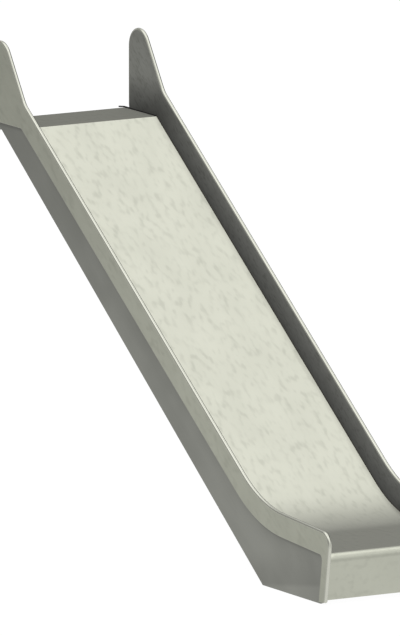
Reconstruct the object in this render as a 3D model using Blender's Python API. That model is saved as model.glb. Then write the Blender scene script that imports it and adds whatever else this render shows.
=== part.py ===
"""Embankment slide in stainless steel, one metre wide.

The slide lies on a bank. A level platform with raised guards at both sides
leads into a straight bed at 35 degrees, a rolled run-out and a rounded front
lip. Each cheek is an inner wall, a half-round rim and an outer band, and below
the band the inner wall goes on as a skirt that is set into the bank.

Profiles are drawn in a side plane, in metres: FORWARD runs down the slide from
the bend line between platform and bed, and DOWN runs below the platform. The
world has -Y forward and +Z up, and its origin is on the rear flange's flat
face. Left is -X, as seen by someone who stands at the foot and looks up.
"""

import bmesh
import bpy
import numpy as np
from math import acos, atan2, ceil, cos, degrees, hypot, pi, radians, sin, tan

# Driving dimensions, in metres and degrees
BED_WIDTH = 1.000
SLOPE_ANGLE = 35.0
SLOPE_RUN = 3.694
RUNOUT_ANGLE = 1.0
BED_RADIUS = 1.000
PLATFORM_LENGTH = 0.419

CHEEK_THICKNESS = 0.025
RIM_RADIUS = CHEEK_THICKNESS / 2
CHEEK_HEIGHT = 0.1712
CHEEK_END_ANGLE = 3.6
CHEEK_RADIUS = 0.970
BAND_WIDTH = 0.143
SHEET = 0.0025
BED_SHEET = 0.003

GUARD_REAR = -0.3595
GUARD_APEX_RADIUS = 0.117
GUARD_APEX_HEIGHT = 0.5293
GUARD_FRONT_ANGLE = 56.2
GUARD_FOOT_RADIUS = 0.200
BAND_BOTTOM = -0.010

CHEEK_CORNER_RADIUS = 0.0775
FRONT_AT_RIM = (3.9325, 2.0825)
FRONT_LEAN = 8.45
FRONT_BOTTOM = 2.448
STRIP_WIDTH = 0.064
STRIP_CORNER_RADIUS = 0.035
BAND_HEEL_RADIUS = 0.040

SKIRT_ANGLE = 36.0
SKIRT_POINT = (-0.1165, 0.1459)
SKIRT_TOP = 0.012
FOOT_LEVEL = 2.466
FOOT_CORNER_RADIUS = 0.100
SKIRT_EDGE_WIDTH = 0.030

LIP_START = 3.868
LIP_RADIUS = 0.050
APRON_BOTTOM = 2.4306

REAR_FOLD_RADIUS = 0.006
REAR_FOLD_DEPTH = 0.070
FLANGE_THICKNESS = 0.008
FLANGE_TOP = 0.014
FLANGE_HEIGHT = 0.110
FLANGE_WIDTH = 0.720
FLANGE_HOLE = 0.014
FLANGE_HOLES = 4
FLANGE_HOLE_PITCH = 0.200
FLANGE_HOLE_MARGIN = 0.025

EDGE_BAR_START = -0.004
EDGE_BAR_HEIGHT = 0.009
EDGE_BAR_WIDTH = 0.006
EDGE_BAR_TAIL = 0.067
EDGE_BAR_DROP = 0.008

RIB_WIDTH = 0.060
RIB_DEPTH = 0.040
RIB_WALL = 0.003
SLOPE_RIBS = 5
SLOPE_RIB_MARGIN = 0.350
RUNOUT_RIB_AT = 3.560
PLATFORM_RIB_AT = -0.200

FOOT_FLANGE_WIDTH = 0.070
FOOT_FLANGE_THICKNESS = 0.006
FOOT_FLANGE_MARGIN = 0.012
FOOT_FLANGE_END = 3.740
CROSSBAR_SIZE = 0.050
CROSSBAR_WALL = 0.005
CROSSBAR_RAISE = 0.003

GAP = 0.0003

# Fineness of the curved stretches: depth of a facet below its arc in metres,
# widest facet in degrees, and sides of the small rounds
FACET_DEPTH = 0.00012
WIDEST_FACET = 9.0
RIM_SIDES = 10
HOLE_SIDES = 16
SMOOTH_ANGLE = radians(30)

# Colours, linear, with roughness
BED_STEEL = ((0.62, 0.63, 0.56), 0.34)
BAND_STEEL = ((0.42, 0.43, 0.38), 0.36)
SKIRT_STEEL = ((0.24, 0.25, 0.23), 0.48)
RIM_STEEL = ((0.72, 0.73, 0.66), 0.24)
FRAME_STEEL = ((0.36, 0.36, 0.34), 0.52)

# World places of the side plane's origin
FLANGE_REAR = -PLATFORM_LENGTH - GAP - FLANGE_THICKNESS
FLANGE_MIDDLE = FLANGE_TOP + FLANGE_HEIGHT / 2


def direction(angle):
    """Unit vector in the side plane, `angle` degrees below the level."""
    return np.array([cos(radians(angle)), sin(radians(angle))])


def upward_normal(angle):
    """Unit vector square to `direction(angle)`, pointing up."""
    return np.array([sin(radians(angle)), -cos(radians(angle))])


def crossing(point_a, angle_a, point_b, angle_b):
    """Point where two lines of the side plane cross."""
    sides = np.column_stack([direction(angle_a), -direction(angle_b)])
    along = np.linalg.solve(sides, np.subtract(point_b, point_a))
    return np.asarray(point_a) + along[0] * direction(angle_a)


def facet_angle(radius):
    """Turn of one facet of an arc, in degrees."""
    return min(WIDEST_FACET, degrees(2 * acos(1 - FACET_DEPTH / radius)))


def rounded_path(corners, radii):
    """Points and normals of a polyline with round corners.

    Each inner corner is a circular arc that touches both its lines. A normal
    points up from a path that runs forward.
    """
    corners = [np.asarray(corner, float) for corner in corners]
    points, normals = [], []

    def add(point, heading):
        points.append(point)
        normals.append(np.array([heading[1], -heading[0]]))

    headings = []
    for start, end in zip(corners[:-1], corners[1:]):
        headings.append((end - start) / np.linalg.norm(end - start))
    add(corners[0], headings[0])
    for corner, radius, before, after in zip(corners[1:-1], radii, headings, headings[1:]):
        turn = atan2(before[0] * after[1] - before[1] * after[0], before @ after)
        reach = radius * tan(abs(turn) / 2)
        side = np.array([-before[1], before[0]]) * (1 if turn > 0 else -1)
        centre = corner - before * reach + side * radius
        count = max(1, ceil(degrees(abs(turn)) / facet_angle(radius)))
        for part in np.linspace(0, turn, count + 1):
            heading = np.array([before[0] * cos(part) - before[1] * sin(part),
                                before[0] * sin(part) + before[1] * cos(part)])
            out = np.array([heading[1], -heading[0]]) * (1 if turn > 0 else -1)
            add(centre + out * radius, heading)
    add(corners[-1], headings[-1])
    return np.array(points), np.array(normals)


def shifted(path, distance):
    """A rounded path moved along its normals; an exact parallel of it."""
    points, normals = path
    return points + normals * distance


def strip(path, thickness):
    """Closed outline of a sheet whose upper side is the path."""
    return np.vstack([path[0], shifted(path, -thickness)[::-1]])


def world(x, point):
    """World place of a side-plane point at the given X."""
    return (x, FLANGE_REAR - point[0], FLANGE_MIDDLE - point[1])


def steel(name, look):
    """A brushed stainless steel material."""
    material = bpy.data.materials.get(name)
    if material:
        return material
    colour, roughness = look
    material = bpy.data.materials.new(name)
    material.use_nodes = True
    shader = material.node_tree.nodes["Principled BSDF"]
    shader.inputs["Base Color"].default_value = (*colour, 1.0)
    shader.inputs["Metallic"].default_value = 1.0
    shader.inputs["Roughness"].default_value = roughness
    return material


def place(name, mesh_data, material):
    """Put a finished bmesh into the scene as a named object."""
    bmesh.ops.remove_doubles(mesh_data, verts=mesh_data.verts, dist=1e-6)
    bmesh.ops.recalc_face_normals(mesh_data, faces=mesh_data.faces)
    mesh = bpy.data.meshes.new(name)
    mesh_data.to_mesh(mesh)
    mesh_data.free()
    mesh.materials.append(material)
    mesh.shade_smooth()
    mesh.set_sharp_from_angle(angle=SMOOTH_ANGLE)
    piece = bpy.data.objects.new(name, mesh)
    bpy.context.collection.objects.link(piece)
    return piece


def plate(name, outline, x_from, x_to, material):
    """Extrude a side-plane outline across the slide."""
    mesh_data = bmesh.new()
    ring = [mesh_data.verts.new(world(x_from, point)) for point in outline]
    face = mesh_data.faces.new(ring)
    grown = bmesh.ops.extrude_face_region(mesh_data, geom=[face])
    moved = [part for part in grown["geom"] if isinstance(part, bmesh.types.BMVert)]
    bmesh.ops.translate(mesh_data, verts=moved, vec=(x_to - x_from, 0, 0))
    return place(name, mesh_data, material)


def half_round_bar(name, path, middle, material):
    """Carry a half-round section along a path, flat side on the path."""
    points, normals = path
    mesh_data = bmesh.new()
    rings = []
    for point, normal in zip(points, normals):
        ring = []
        for turn in np.linspace(0, pi, RIM_SIDES + 1):
            place_on_arc = point + normal * RIM_RADIUS * sin(turn)
            x = middle - RIM_RADIUS * cos(turn)
            ring.append(mesh_data.verts.new(world(x, place_on_arc)))
        rings.append(ring)
    sides = RIM_SIDES + 1
    for near, far in zip(rings[:-1], rings[1:]):
        for i in range(sides):
            j = (i + 1) % sides
            mesh_data.faces.new((near[i], near[j], far[j], far[i]))
    mesh_data.faces.new(rings[0])
    mesh_data.faces.new(reversed(rings[-1]))
    return place(name, mesh_data, material)


def round_cutter(name, radius, length, location):
    """A cylinder along Y that only cuts."""
    mesh_data = bmesh.new()
    bmesh.ops.create_cone(mesh_data, cap_ends=True, segments=HOLE_SIDES, radius1=radius,
                          radius2=radius, depth=length)
    mesh = bpy.data.meshes.new(name)
    mesh_data.to_mesh(mesh)
    mesh_data.free()
    cutter = bpy.data.objects.new(name, mesh)
    cutter.location = location
    cutter.rotation_euler = (radians(90), 0, 0)
    cutter.hide_render = True
    cutter.display_type = "WIRE"
    bpy.context.collection.objects.link(cutter)
    return cutter


def cut(piece, cutter):
    """Take the cutter's shape out of the piece."""
    modifier = piece.modifiers.new(cutter.name, "BOOLEAN")
    modifier.operation = "DIFFERENCE"
    modifier.solver = "EXACT"
    modifier.object = cutter


# Lines of the side plane
SLOPE_END = SLOPE_RUN * direction(SLOPE_ANGLE)
BED_LINE = ((0.0, 0.0), SLOPE_ANGLE)
RUNOUT_LINE = (SLOPE_END, RUNOUT_ANGLE)
RIM_SLOPE = (CHEEK_HEIGHT * upward_normal(SLOPE_ANGLE), SLOPE_ANGLE)
RIM_END = ((3.5062, 1.9819), CHEEK_END_ANGLE)
FRONT_LINE = (FRONT_AT_RIM, 90 + FRONT_LEAN)
SKIRT_LINE = (SKIRT_POINT, SKIRT_ANGLE)


def level(depth):
    """A level line of the side plane at a depth below the platform."""
    return ((0.0, depth), 0.0)


def parallel(line, distance):
    """The line moved square to itself, up when the distance is positive."""
    point, angle = line
    return (np.asarray(point) + distance * upward_normal(angle), angle)


def guard_front_line():
    """Sloping front edge of a guard, touching the arc at its top."""
    centre = np.array([GUARD_REAR + GUARD_APEX_RADIUS, GUARD_APEX_RADIUS - GUARD_APEX_HEIGHT])
    touch = centre + GUARD_APEX_RADIUS * upward_normal(GUARD_FRONT_ANGLE)
    return (touch, GUARD_FRONT_ANGLE)


def rim_path():
    """Line under the rim: up the guard, down the slide and down the front."""
    guard = guard_front_line()
    rear = ((GUARD_REAR, 0.0), 90.0)
    corners = [(GUARD_REAR, BAND_BOTTOM),
               crossing(*rear, *guard),
               crossing(*guard, *RIM_SLOPE),
               crossing(*RIM_SLOPE, *RIM_END),
               crossing(*RIM_END, *FRONT_LINE),
               crossing(*FRONT_LINE, *level(FRONT_BOTTOM))]
    radii = [GUARD_APEX_RADIUS, GUARD_FOOT_RADIUS, CHEEK_RADIUS, CHEEK_CORNER_RADIUS]
    return rounded_path(corners, radii)


def band_lower_path():
    """Lower edge of the outer band, from its heel to the foot of its strip."""
    slope = parallel(RIM_SLOPE, -BAND_WIDTH)
    end = parallel(RIM_END, -BAND_WIDTH)
    strip_rear = parallel(FRONT_LINE, -STRIP_WIDTH)
    corners = [(GUARD_REAR, BAND_BOTTOM),
               crossing(*level(BAND_BOTTOM), *slope),
               crossing(*slope, *end),
               crossing(*end, *strip_rear),
               crossing(*strip_rear, *level(FRONT_BOTTOM))]
    radii = [BAND_HEEL_RADIUS, CHEEK_RADIUS + BAND_WIDTH, STRIP_CORNER_RADIUS]
    return rounded_path(corners, radii)


def skirt_bottom(rise=0.0):
    """Lower edge of the skirt, from the platform to the foot's rear corner."""
    edge = parallel(SKIRT_LINE, rise)
    return np.array([crossing(*edge, *level(SKIRT_TOP + rise)),
                     crossing(*edge, *level(FOOT_LEVEL - rise))])


def wall_outline():
    """Whole inner wall: guard and cheek above, skirt and foot below."""
    top = shifted(rim_path(), -GAP)[:-1]
    skirt_start, foot_start = skirt_bottom()
    toe = crossing(*parallel(FRONT_LINE, -GAP), *level(FOOT_LEVEL))
    foot = rounded_path([top[-1], toe, foot_start], [FOOT_CORNER_RADIUS])[0][1:]
    return np.vstack([top, foot, skirt_start, (GUARD_REAR + GAP, SKIRT_TOP)])


def bed_path():
    """Upper side of the bed, from the bend line to the start of the lip."""
    end = crossing(*RUNOUT_LINE, (LIP_START, 0.0), 90.0)
    return rounded_path([(0.0, 0.0), SLOPE_END, end], [BED_RADIUS])


def lip_path():
    """Upper and front side of the lip and the apron below it."""
    start = crossing(*RUNOUT_LINE, (LIP_START + GAP, 0.0), 90.0)
    reach = LIP_RADIUS * tan(radians(90 + FRONT_LEAN - RUNOUT_ANGLE) / 2)
    corner = start + reach * direction(RUNOUT_ANGLE)
    apron = (corner, 90 + FRONT_LEAN)
    bottom = crossing(*apron, *level(APRON_BOTTOM))
    return rounded_path([start, corner, bottom], [LIP_RADIUS])


def side_span(side, near, far):
    """Two X values at one side, measured outwards from the bed's edge."""
    edge = BED_WIDTH / 2
    return side * (edge + near), side * (edge + far)


def rib_outline(at, angle):
    """Channel open downwards, under a bed or platform surface."""
    along, up = direction(angle), upward_normal(angle)
    half = RIB_WIDTH / 2
    top = -BED_SHEET - GAP
    inner_top = top - RIB_WALL
    bottom = top - RIB_DEPTH
    steps = [(-half, top), (half, top), (half, bottom), (half - RIB_WALL, bottom),
             (half - RIB_WALL, inner_top), (RIB_WALL - half, inner_top),
             (RIB_WALL - half, bottom), (-half, bottom)]
    return np.array([at + a * along + b * up for a, b in steps])


def make_platform():
    """The level sheet with its rear fold, and the rear flange."""
    rear = -PLATFORM_LENGTH
    miter = -tan(radians(SLOPE_ANGLE / 2)) * BED_SHEET
    fold = rounded_path([(-GAP, 0.0), (rear, 0.0), (rear, REAR_FOLD_DEPTH)], [REAR_FOLD_RADIUS])
    outline = np.vstack([fold[0], shifted(fold, BED_SHEET)[::-1]])
    outline[-1] = (miter - GAP, BED_SHEET)
    half = BED_WIDTH / 2 - GAP
    plate("platform_sheet", outline, -half, half, steel("ground_steel_platform", BED_STEEL))

    flange_from, flange_to = FLANGE_REAR, FLANGE_REAR + FLANGE_THICKNESS
    corners = [(flange_from, FLANGE_TOP), (flange_to, FLANGE_TOP),
               (flange_to, FLANGE_TOP + FLANGE_HEIGHT), (flange_from, FLANGE_TOP + FLANGE_HEIGHT)]
    flange = plate("platform_rear_flange", corners, -FLANGE_WIDTH / 2, FLANGE_WIDTH / 2,
                   steel("pickled_steel_frame", FRAME_STEEL))
    hole_middle = (FLANGE_HOLES - 1) / 2
    hole_at = (FLANGE_REAR + FLANGE_THICKNESS / 2, FLANGE_TOP + FLANGE_HEIGHT - FLANGE_HOLE_MARGIN)
    for index in range(FLANGE_HOLES):
        spot = world((index - hole_middle) * FLANGE_HOLE_PITCH, hole_at)
        cutter = round_cutter(f"flange_hole_{index + 1}", FLANGE_HOLE / 2, 3 * FLANGE_THICKNESS, spot)
        cut(flange, cutter)


def make_edge_bars():
    """Small bars in the corner of platform and guard, with a bent tail."""
    rear = -PLATFORM_LENGTH
    tip = rear - EDGE_BAR_TAIL
    top = np.array([(EDGE_BAR_START, -GAP - EDGE_BAR_HEIGHT), (rear, -GAP - EDGE_BAR_HEIGHT),
                    (tip, EDGE_BAR_DROP - EDGE_BAR_HEIGHT)])
    bottom = top + (0.0, EDGE_BAR_HEIGHT)
    outline = np.vstack([top, bottom[::-1]])
    for side, word in ((-1, "left"), (1, "right")):
        plate(f"platform_edge_bar_{word}", outline, *side_span(side, -GAP, -GAP - EDGE_BAR_WIDTH),
              steel("pickled_steel_frame", FRAME_STEEL))


def make_bed():
    """The straight bed, the rolled run-out and the rounded lip with its apron."""
    path = bed_path()
    half = BED_WIDTH / 2 - GAP
    points, normals = path
    finish = steel("ground_steel_bed", BED_STEEL)
    miter = tan(radians(SLOPE_ANGLE / 2)) * BED_SHEET

    straight = (points[:2].copy(), normals[:2])
    straight[0][0] = GAP * direction(SLOPE_ANGLE)
    outline = strip(straight, BED_SHEET)
    outline[-1] = outline[-1] + miter * direction(SLOPE_ANGLE)
    plate("chute_bed", outline, -half, half, finish)

    rolled = (points[1:].copy(), normals[1:])
    rolled[0][0] = rolled[0][0] + GAP * direction(SLOPE_ANGLE)
    plate("runout_bed", strip(rolled, BED_SHEET), -half, half, finish)

    plate("front_lip", strip(lip_path(), BED_SHEET), -half, half, finish)


def make_cheeks():
    """Inner walls with skirts, outer bands with their returns, and rims."""
    rim = rim_path()
    lower = band_lower_path()
    inner_wall = wall_outline()
    band_outline = np.vstack([shifted(rim, -GAP), lower[0][::-1][:-1]])

    closed_edge = (lower[0].copy(), lower[1])
    closed_edge[0][0][0] += GAP
    return_outline = np.vstack([shifted(closed_edge, SHEET), closed_edge[0][::-1]])

    for side, word in ((-1, "left"), (1, "right")):
        plate(f"cheek_wall_{word}", inner_wall, *side_span(side, 0.0, SHEET),
              steel("ground_steel_wall", SKIRT_STEEL))
        plate(f"cheek_band_{word}", band_outline, *side_span(side, CHEEK_THICKNESS - SHEET, CHEEK_THICKNESS),
              steel("ground_steel_band", BAND_STEEL))
        plate(f"band_return_{word}", return_outline,
              *side_span(side, SHEET + GAP, CHEEK_THICKNESS - SHEET - GAP),
              steel("ground_steel_band", BAND_STEEL))
        half_round_bar(f"cheek_rim_{word}", rim, side * (BED_WIDTH / 2 + RIM_RADIUS),
                       steel("polished_steel_rim", RIM_STEEL))


def make_frame():
    """Ribs under the bed, skirt edges, foot flanges and the foot crossbar."""
    finish = steel("pickled_steel_frame", FRAME_STEEL)
    half = BED_WIDTH / 2 - GAP

    plate("platform_rib", rib_outline(np.array([PLATFORM_RIB_AT, 0.0]), 0.0), -half, half, finish)
    start_of_arc = bed_path()[0][1]
    straight = hypot(*start_of_arc)
    spots = np.linspace(SLOPE_RIB_MARGIN, straight - SLOPE_RIB_MARGIN / 2, SLOPE_RIBS)
    for index, spot in enumerate(spots):
        outline = rib_outline(spot * direction(SLOPE_ANGLE), SLOPE_ANGLE)
        plate(f"bed_rib_{index + 1}", outline, -half, half, finish)
    runout_spot = crossing(*RUNOUT_LINE, (RUNOUT_RIB_AT, 0.0), 90.0)
    plate("runout_rib", rib_outline(runout_spot, RUNOUT_ANGLE), -half, half, finish)

    edge_low, edge_high = skirt_bottom(), skirt_bottom(SHEET)
    outline = np.vstack([edge_low[0], edge_low[1], edge_high[1], edge_high[0]])
    foot_from, foot_top = edge_low[1][0] + FOOT_FLANGE_MARGIN, FOOT_LEVEL - FOOT_FLANGE_THICKNESS
    foot = np.array([(foot_from, FOOT_LEVEL), (FOOT_FLANGE_END, FOOT_LEVEL),
                     (FOOT_FLANGE_END, foot_top), (foot_from, foot_top)])
    for side, word in ((-1, "left"), (1, "right")):
        plate(f"skirt_edge_{word}", outline, *side_span(side, -GAP - SKIRT_EDGE_WIDTH, -GAP), finish)
        plate(f"foot_flange_{word}", foot, *side_span(side, -GAP - FOOT_FLANGE_WIDTH, -GAP), finish)

    low = APRON_BOTTOM - CROSSBAR_RAISE
    apron_back = shifted(lip_path(), -BED_SHEET)[-1][0]
    front, size, wall = apron_back - GAP, CROSSBAR_SIZE, CROSSBAR_WALL
    angle_bar = np.array([(front, low), (front, low - size), (front - wall, low - size),
                          (front - wall, low - wall), (front - size, low - wall), (front - size, low)])
    plate("foot_crossbar", angle_bar, -half, half, finish)


def main():
    for piece in list(bpy.data.objects):
        bpy.data.objects.remove(piece, do_unlink=True)
    make_platform()
    make_edge_bars()
    make_bed()
    make_cheeks()
    make_frame()


main()
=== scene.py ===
"""Looks of the embankment slide: formed stainless sheets, rims, frame, studio and camera.

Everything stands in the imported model's frame, in metres, with +Z up. The slide runs forward
along -Y. Long pieces are sections carried along a path of the side view. Its points are (u, w):
u runs forward from the bend between platform and chute, w runs down from the platform. Its
angles are in degrees below the level.
"""

import logging
import math
from dataclasses import dataclass
from enum import Enum

import bpy
import numpy as np
from mathutils import Matrix, Vector


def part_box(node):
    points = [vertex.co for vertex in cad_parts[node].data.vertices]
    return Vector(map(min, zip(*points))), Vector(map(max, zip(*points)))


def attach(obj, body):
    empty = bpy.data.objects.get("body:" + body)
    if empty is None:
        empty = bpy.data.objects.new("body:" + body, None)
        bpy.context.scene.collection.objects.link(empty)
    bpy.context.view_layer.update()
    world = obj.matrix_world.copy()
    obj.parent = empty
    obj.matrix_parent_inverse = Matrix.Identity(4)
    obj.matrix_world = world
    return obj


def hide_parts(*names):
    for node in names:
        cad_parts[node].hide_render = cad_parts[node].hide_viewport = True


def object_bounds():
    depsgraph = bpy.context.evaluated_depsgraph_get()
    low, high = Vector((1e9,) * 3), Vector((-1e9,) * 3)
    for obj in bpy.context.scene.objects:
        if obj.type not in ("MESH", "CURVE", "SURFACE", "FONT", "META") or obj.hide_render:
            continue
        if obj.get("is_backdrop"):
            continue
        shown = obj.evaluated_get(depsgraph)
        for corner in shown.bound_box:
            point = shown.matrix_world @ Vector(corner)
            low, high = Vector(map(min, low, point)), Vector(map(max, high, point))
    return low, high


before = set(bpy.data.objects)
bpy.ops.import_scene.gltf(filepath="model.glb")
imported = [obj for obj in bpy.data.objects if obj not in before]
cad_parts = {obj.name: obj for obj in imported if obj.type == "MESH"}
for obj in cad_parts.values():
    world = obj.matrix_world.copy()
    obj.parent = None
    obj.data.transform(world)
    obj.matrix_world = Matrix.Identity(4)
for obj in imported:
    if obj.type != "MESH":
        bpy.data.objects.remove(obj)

LOG = logging.getLogger("embankment_slide")

# Clearance that the solids keep from each other
GAP = 0.0003

# Widest step on a short profile's arcs, in degrees, and a stride that leaves its sides whole
COARSE_TURN, WHOLE_SIDE = 15.0, 1.0

# Share of a sheet's thickness by which its edges are eased
EASE = 0.25

# Edges sharper than this, in degrees, stay sharp to the eye
SHARP_ANGLE = 32.0

# A face looks along a direction when its normal has more than this much of it in it
FACING = 0.7


class Side(Enum):
    """The two sides of the slide; the left one is near in the photograph."""

    LEFT = -1
    RIGHT = 1

    @property
    def word(self) -> str:
        """The side's name as the pieces carry it."""
        return self.name.lower()


class Slot(Enum):
    """Material slots of the record."""

    PLATFORM = "platform_steel"
    BED = "bed_steel"
    BAND = "band_steel"
    WALL = "wall_steel"
    RIM = "rim_steel"
    FRAME = "frame_steel"


def heading(angle: float) -> np.ndarray:
    """Unit vector of the side view, `angle` degrees below the level."""
    return np.array([math.cos(math.radians(angle)), math.sin(math.radians(angle))])


def square_up(angle: float) -> np.ndarray:
    """Unit vector of the side view square to `heading(angle)`, pointing up."""
    return np.array([math.sin(math.radians(angle)), -math.cos(math.radians(angle))])


def running_length(points: np.ndarray) -> np.ndarray:
    """Length along a polygon up to each of its points."""
    steps = np.linalg.norm(np.diff(points, axis=0), axis=1)
    return np.concatenate([[0.0], np.cumsum(steps)])


@dataclass(frozen=True)
class Line:
    """Straight line of the side view: a point (u, w) on it and its angle below the level."""

    point: tuple[float, float] | np.ndarray
    angle: float

    def crossing(self, other: "Line") -> np.ndarray:
        """Point where this line meets another, from a pair of linear equations.

        Args:
            other: the other line.

        Returns:
            The point.
        """
        sides = np.column_stack([heading(self.angle), -heading(other.angle)])
        along = np.linalg.solve(sides, np.subtract(other.point, self.point))
        return np.asarray(self.point) + along[0] * heading(self.angle)

    def raised(self, distance: float) -> "Line":
        """This line moved square to itself, up when the distance is positive."""
        return Line(np.asarray(self.point) + distance * square_up(self.angle), self.angle)


def level(depth: float) -> Line:
    """Level line of the side view at a depth below the platform."""
    return Line((0.0, depth), 0.0)


def upright(u: float) -> Line:
    """Upright line of the side view."""
    return Line((u, 0.0), 90.0)


@dataclass(frozen=True)
class Path:
    """Points of the side view with a unit normal each; the normals of a forward path point up."""

    points: np.ndarray
    normals: np.ndarray

    @classmethod
    def through(cls, corners: list, radii: list, turn: float = 3.0, stride: float = 0.08) -> "Path":
        """Straight runs joined by arcs that touch both their neighbours.

        An arc starts at radius * tan(turn / 2) before its corner. Its normal turns from the
        first run's normal n as n * cos(t) + run * sin(t), and its points are the centre plus
        the signed radius times that normal.

        Args:
            corners: start, inner corners and end.
            radii: one for each inner corner.
            turn: widest step on an arc, in degrees.
            stride: widest step on a straight run.

        Returns:
            The path.
        """
        corners = np.asarray(corners, float)
        runs = np.diff(corners, axis=0)
        runs /= np.linalg.norm(runs, axis=1)[:, None]
        squares = np.stack([runs[:, 1], -runs[:, 0]], -1)
        points, normals = [corners[:1]], [squares[:1]]

        def straight_to(end: np.ndarray, normal: np.ndarray) -> None:
            """Add evenly spaced points up to, and without, the end of a straight run.

            Args:
                end: the run's end.
                normal: its normal.
            """
            start = points[-1][-1]
            count = int(np.linalg.norm(end - start) / stride)
            parts = np.arange(1, count + 1)[:, None] / (count + 1)
            points.append(start + parts * (end - start))
            normals.append(np.tile(normal, (count, 1)))

        for corner, radius, before, after, normal in zip(
                corners[1:-1], radii, runs, runs[1:], squares):
            angle = math.atan2(-normal @ after, before @ after)
            reach = math.copysign(radius, angle)
            touch = corner - before * radius * math.tan(abs(angle) / 2)
            straight_to(touch, normal)
            turns = np.linspace(0.0, angle, 2 + int(abs(math.degrees(angle)) / turn))[:, None]
            arc = np.cos(turns) * normal + np.sin(turns) * before
            points.append(touch - reach * normal + reach * arc)
            normals.append(arc)
        straight_to(corners[-1], squares[-1])
        return cls(np.vstack([*points, corners[-1:]]), np.vstack([*normals, squares[-1:]]))

    @property
    def lengths(self) -> np.ndarray:
        """Running length at each point."""
        return running_length(self.points)

    @property
    def headings(self) -> np.ndarray:
        """Unit vector along the path at each point: the normal, turned by a quarter."""
        return np.stack([-self.normals[:, 1], self.normals[:, 0]], -1)

    def shifted(self, distance: float) -> "Path":
        """Exact parallel of the path, up its normals when the distance is positive."""
        return Path(self.points + distance * self.normals, self.normals)

    def with_stations(self, extra: np.ndarray) -> "Path":
        """The path with points added on its straight runs.

        Args:
            extra: running lengths to add.

        Returns:
            The path.
        """
        known = self.lengths
        wanted = np.unique(np.round(np.concatenate([known, extra]), 6))
        wanted = wanted[(wanted >= 0.0) & (wanted <= known[-1])]
        points, normals = (np.stack([np.interp(wanted, known, values[:, i]) for i in (0, 1)], -1)
                           for values in (self.points, self.normals))
        return Path(points, normals / np.linalg.norm(normals, axis=1)[:, None])


def bent_profile(corners: list, radii: list) -> np.ndarray:
    """Points of a short open profile whose inner corners are rounded."""
    return Path.through(corners, radii, COARSE_TURN, WHOLE_SIDE).points


def closed_loop(corners: list, radius: float, turn: float = COARSE_TURN,
                stride: float = WHOLE_SIDE) -> np.ndarray:
    """Closed polygon with every corner rounded: a path that starts and ends half way along a side."""
    start = (np.asarray(corners[0]) + corners[-1]) / 2
    return Path.through([start, *corners, start], [radius] * len(corners), turn, stride).points[:-1]


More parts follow.
